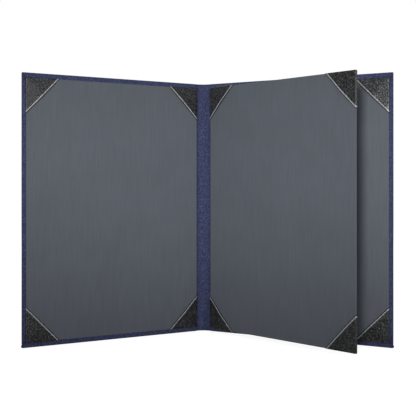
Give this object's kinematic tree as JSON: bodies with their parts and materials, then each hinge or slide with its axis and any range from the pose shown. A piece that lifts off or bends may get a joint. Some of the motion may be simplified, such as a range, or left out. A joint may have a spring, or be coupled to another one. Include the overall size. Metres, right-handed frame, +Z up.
{
  "type": "menu cover",
  "caption": "Upright folding menu cover in navy cloth with dark satin liners, black corner pockets and one hinged two-sided inner leaf.",
  "frame": {"origin": "middle of the folded spine cloth at its foot, on the surface that the cover stands on", "axes": "+Z up along the spine, +X towards the back cover on the viewer's right, covers open towards -Y"},
  "size_m": [0.4044, 0.1769, 0.2985],
  "materials": {
    "navy_cloth": "matte bookcloth with a fine pebbled grain",
    "grey_board": "raw grey board, hidden in the cloth",
    "satin_card": "dark grey satin-faced card with faint upright streaks",
    "leatherette": "black grained leatherette, semi-gloss"
  },
  "bodies": {
    "back_cover": {"back_board": "grey_board", "cover_cloth_back": "navy_cloth", "spine_lining_back": "navy_cloth", "back_liner": "satin_card", "back_pocket_bottom_inner": "leatherette", "back_pocket_bottom_outer": "leatherette", "back_pocket_top_inner": "leatherette", "back_pocket_top_outer": "leatherette", "leaf_hinge_guard": "navy_cloth"},
    "spine": {"cover_cloth_spine": "navy_cloth", "spine_lining_middle": "navy_cloth"},
    "front_cover": {"front_board": "grey_board", "cover_cloth_front": "navy_cloth", "spine_lining_front": "navy_cloth", "front_liner": "satin_card", "front_pocket_bottom_inner": "leatherette", "front_pocket_bottom_outer": "leatherette", "front_pocket_top_inner": "leatherette", "front_pocket_top_outer": "leatherette"},
    "leaf": {"leaf_hinge_strip": "navy_cloth", "leaf_front_liner": "satin_card", "leaf_back_liner": "satin_card", "leaf_front_pocket_bottom_inner": "leatherette", "leaf_front_pocket_bottom_outer": "leatherette", "leaf_front_pocket_top_inner": "leatherette", "leaf_front_pocket_top_outer": "leatherette", "leaf_back_pocket_bottom_inner": "leatherette", "leaf_back_pocket_bottom_outer": "leatherette", "leaf_back_pocket_top_inner": "leatherette", "leaf_back_pocket_top_outer": "leatherette"}
  },
  "joints": [
    {"name": "spine_fold", "type": "hinge", "parent": "back_cover", "child": "spine", "pos_m": [0.008, -0.0027, 0.14925], "axis": [0, 0, 1], "range_deg": [-30.5, 59.5]},
    {"name": "front_fold", "type": "hinge", "parent": "spine", "child": "front_cover", "pos_m": [-0.008, -0.0027, 0.14925], "axis": [0, 0, 1], "range_deg": [-30.5, 59.5]},
    {"name": "leaf_turn", "type": "hinge", "parent": "back_cover", "child": "leaf", "pos_m": [0.00782, -0.01188, 0.14925], "axis": [0, 0, 1], "range_deg": [-9.65, 18.81]}
  ],
  "couplings": [
    {"joint": "spine_fold", "follows": "front_fold", "ratio": 1},
    {"joint": "leaf_turn", "follows": "front_fold", "ratio": 0.316}
  ]
}
